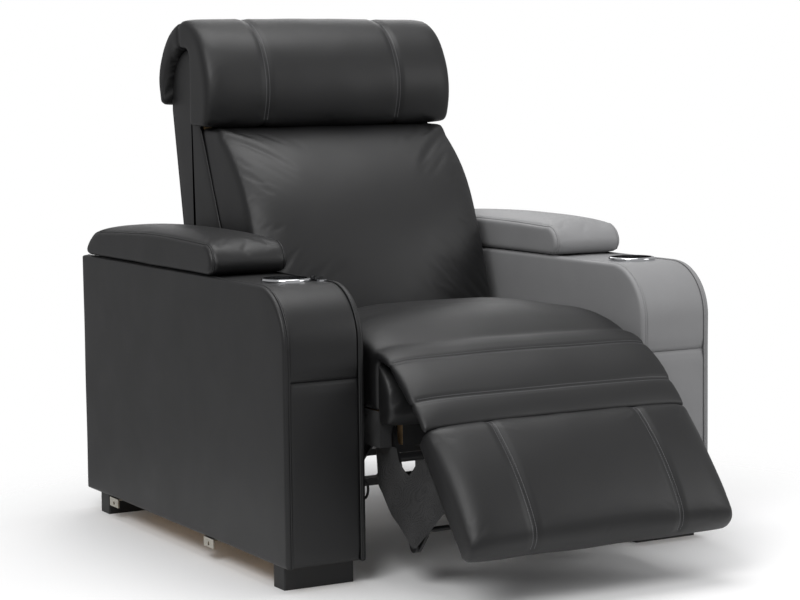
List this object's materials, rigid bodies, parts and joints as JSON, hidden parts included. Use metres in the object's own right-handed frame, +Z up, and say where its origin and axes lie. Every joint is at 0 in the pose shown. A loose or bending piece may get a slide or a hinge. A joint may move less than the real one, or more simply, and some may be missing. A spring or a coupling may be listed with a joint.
{
  "type": "cinema recliner seat",
  "caption": "Wide-armed cinema recliner: chaise seat whose padded footrest swings out on an open linkage, reclining back, tilting headrest, storage arms and cup wells.",
  "frame": {"origin": "on the floor under the middle of the seat's overall length and width in the pictured pose", "axes": "+Z up, the seat faces -Y, +X is towards the sitter's left arm"},
  "size_m": [0.97, 1.3476, 1.074],
  "materials": {
    "black_leather": "smooth semi-gloss split leather with fine grain",
    "grey_leather": "smooth faded grey leather",
    "black_cloth": "thin black woven cover cloth",
    "webbing": "woven elastic webbing",
    "plywood": "plain unfinished plywood",
    "black_steel": "satin black powder coat",
    "zinc_plate": "bright zinc plate",
    "chromed_trim": "bright chrome",
    "black_moulding": "fine-textured black moulding",
    "button_plastic": "gloss black",
    "lead_rubber": "matt black cable sheath"
  },
  "bodies": {
    "base": {"right_arm_outer_panel": "black_leather", "right_arm_inner_panel": "black_leather", "right_arm_band": "black_leather", "right_arm_frame": "plywood", "right_storage_bin": "black_moulding", "right_cup_holder": "chromed_trim", "right_lid_hinge_base": "zinc_plate", "left_arm_outer_panel": "grey_leather", "left_arm_inner_panel": "grey_leather", "left_arm_band": "grey_leather", "left_arm_frame": "plywood", "left_storage_bin": "black_moulding", "left_cup_holder": "chromed_trim", "left_lid_hinge_base": "zinc_plate", "feet": "black_moulding", "row_link_brackets": "zinc_plate", "control_pod": "chromed_trim", "seat_frame": "plywood", "seat_webbing": "webbing", "cross_rails": "black_steel", "side_plates": "black_steel", "pivot_pins": "zinc_plate", "linkage_cover_right": "black_cloth", "linkage_cover_left": "black_cloth", "seat_cushion": "black_leather", "seat_front_pad": "black_leather", "chaise_flap": "black_leather", "drive_rail": "black_steel", "drive_motor": "black_moulding", "control_lead": "lead_rubber"},
    "footrest": {"footrest_board": "plywood", "footrest_brackets": "black_steel", "footrest_pad": "black_leather"},
    "rear_links": {"rear_links": "black_steel", "torque_tube": "black_steel"},
    "front_links": {"front_links": "black_steel"},
    "drive": {"drive_block": "black_steel"},
    "backrest": {"back_side_panels": "black_leather", "back_rear_panel": "black_leather", "back_frame": "plywood", "back_webbing": "webbing", "back_brackets": "black_steel", "back_cushion": "black_leather", "head_rear_flap": "black_leather", "head_hinge_brackets": "black_steel"},
    "headrest": {"head_pad": "black_leather", "head_board": "plywood", "head_hinge_leaves": "black_steel"},
    "right_lid": {"right_lid_pad": "black_leather", "right_lid_board": "plywood", "right_lid_hinge_leaf": "zinc_plate"},
    "left_lid": {"left_lid_pad": "grey_leather", "left_lid_board": "plywood", "left_lid_hinge_leaf": "zinc_plate"},
    "open_button": {"open_button": "button_plastic"},
    "close_button": {"close_button": "button_plastic"}
  },
  "joints": [
    {"name": "footrest_fold", "type": "hinge", "parent": "base", "child": "footrest", "pos_m": [0, -0.4263, 0.425], "axis": [-1, 0, 0], "range_deg": [-40, 34], "deforming": ["chaise_flap"]},
    {"name": "rear_link_swing", "type": "hinge", "parent": "base", "child": "rear_links", "pos_m": [0, -0.30641, 0.29251], "axis": [-1, 0, 0], "range_deg": [-40, 34], "deforming": ["linkage_cover_right", "linkage_cover_left"]},
    {"name": "front_link_swing", "type": "hinge", "parent": "rear_links", "child": "front_links", "pos_m": [0, -0.3913, 0.078], "axis": [-1, 0, 0], "range_deg": [-34, 40]},
    {"name": "drive_stroke", "type": "slide", "parent": "base", "child": "drive", "axis": [0, -1, 0], "range_m": [-0.048, 0.041]},
    {"name": "back_recline", "type": "hinge", "parent": "base", "child": "backrest", "pos_m": [0, 0.2237, 0.318], "axis": [-1, 0, 0], "range_deg": [0, 32]},
    {"name": "headrest_tilt", "type": "hinge", "parent": "backrest", "child": "headrest", "pos_m": [0, 0.4237, 0.857], "axis": [1, 0, 0], "range_deg": [0, 35]},
    {"name": "right_lid_hinge", "type": "hinge", "parent": "base", "child": "right_lid", "pos_m": [-0.4, 0.6617, 0.5713], "axis": [-1, 0, 0], "range_deg": [0, 80]},
    {"name": "left_lid_hinge", "type": "hinge", "parent": "base", "child": "left_lid", "pos_m": [0.4, 0.6617, 0.5713], "axis": [-1, 0, 0], "range_deg": [0, 80]},
    {"name": "open_button_press", "type": "slide", "parent": "base", "child": "open_button", "axis": [0, 0, -1], "range_m": [0, 0.0015], "stiffness_N_per_m": 800},
    {"name": "close_button_press", "type": "slide", "parent": "base", "child": "close_button", "axis": [0, 0, -1], "range_m": [0, 0.0015], "stiffness_N_per_m": 800}
  ],
  "couplings": [
    {"joint": "rear_link_swing", "follows": "footrest_fold", "ratio": 1},
    {"joint": "front_link_swing", "follows": "footrest_fold", "ratio": -1},
    {"joint": "drive_stroke", "follows": "footrest_fold", "m_per_rad": 0.067}
  ]
}
